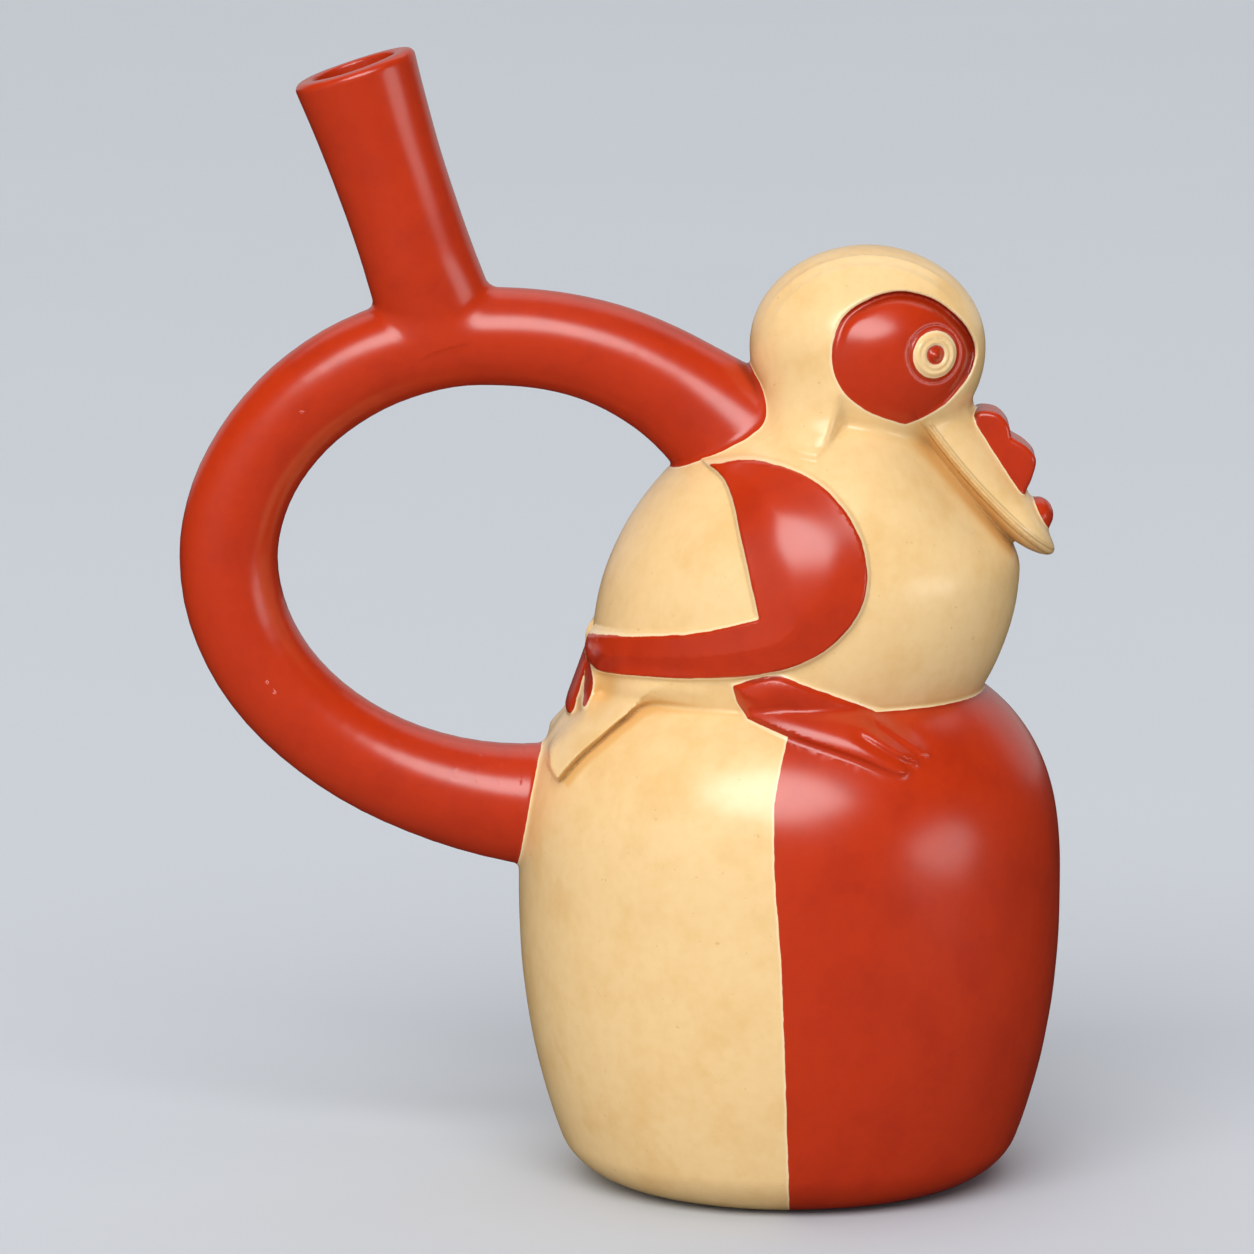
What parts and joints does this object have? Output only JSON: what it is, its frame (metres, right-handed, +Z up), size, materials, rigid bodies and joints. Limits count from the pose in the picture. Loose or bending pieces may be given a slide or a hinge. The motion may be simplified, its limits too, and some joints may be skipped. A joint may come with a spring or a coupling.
{
  "type": "bottle",
  "caption": "Stirrup-spout clay bottle: a duck lies on a rounded chamber, with a ring-shaped tube behind it that carries the spout, for pouring and carrying.",
  "frame": {"origin": "centre of the flat underside", "axes": "+Z up, +X the way the duck faces, so the stirrup and its spout are on the -X side"},
  "size_m": [0.1763, 0.1088, 0.2283],
  "materials": {
    "clay": "burnished slip in red and cream"
  },
  "bodies": {
    "root": {"bottle": "clay"}
  },
  "joints": []
}
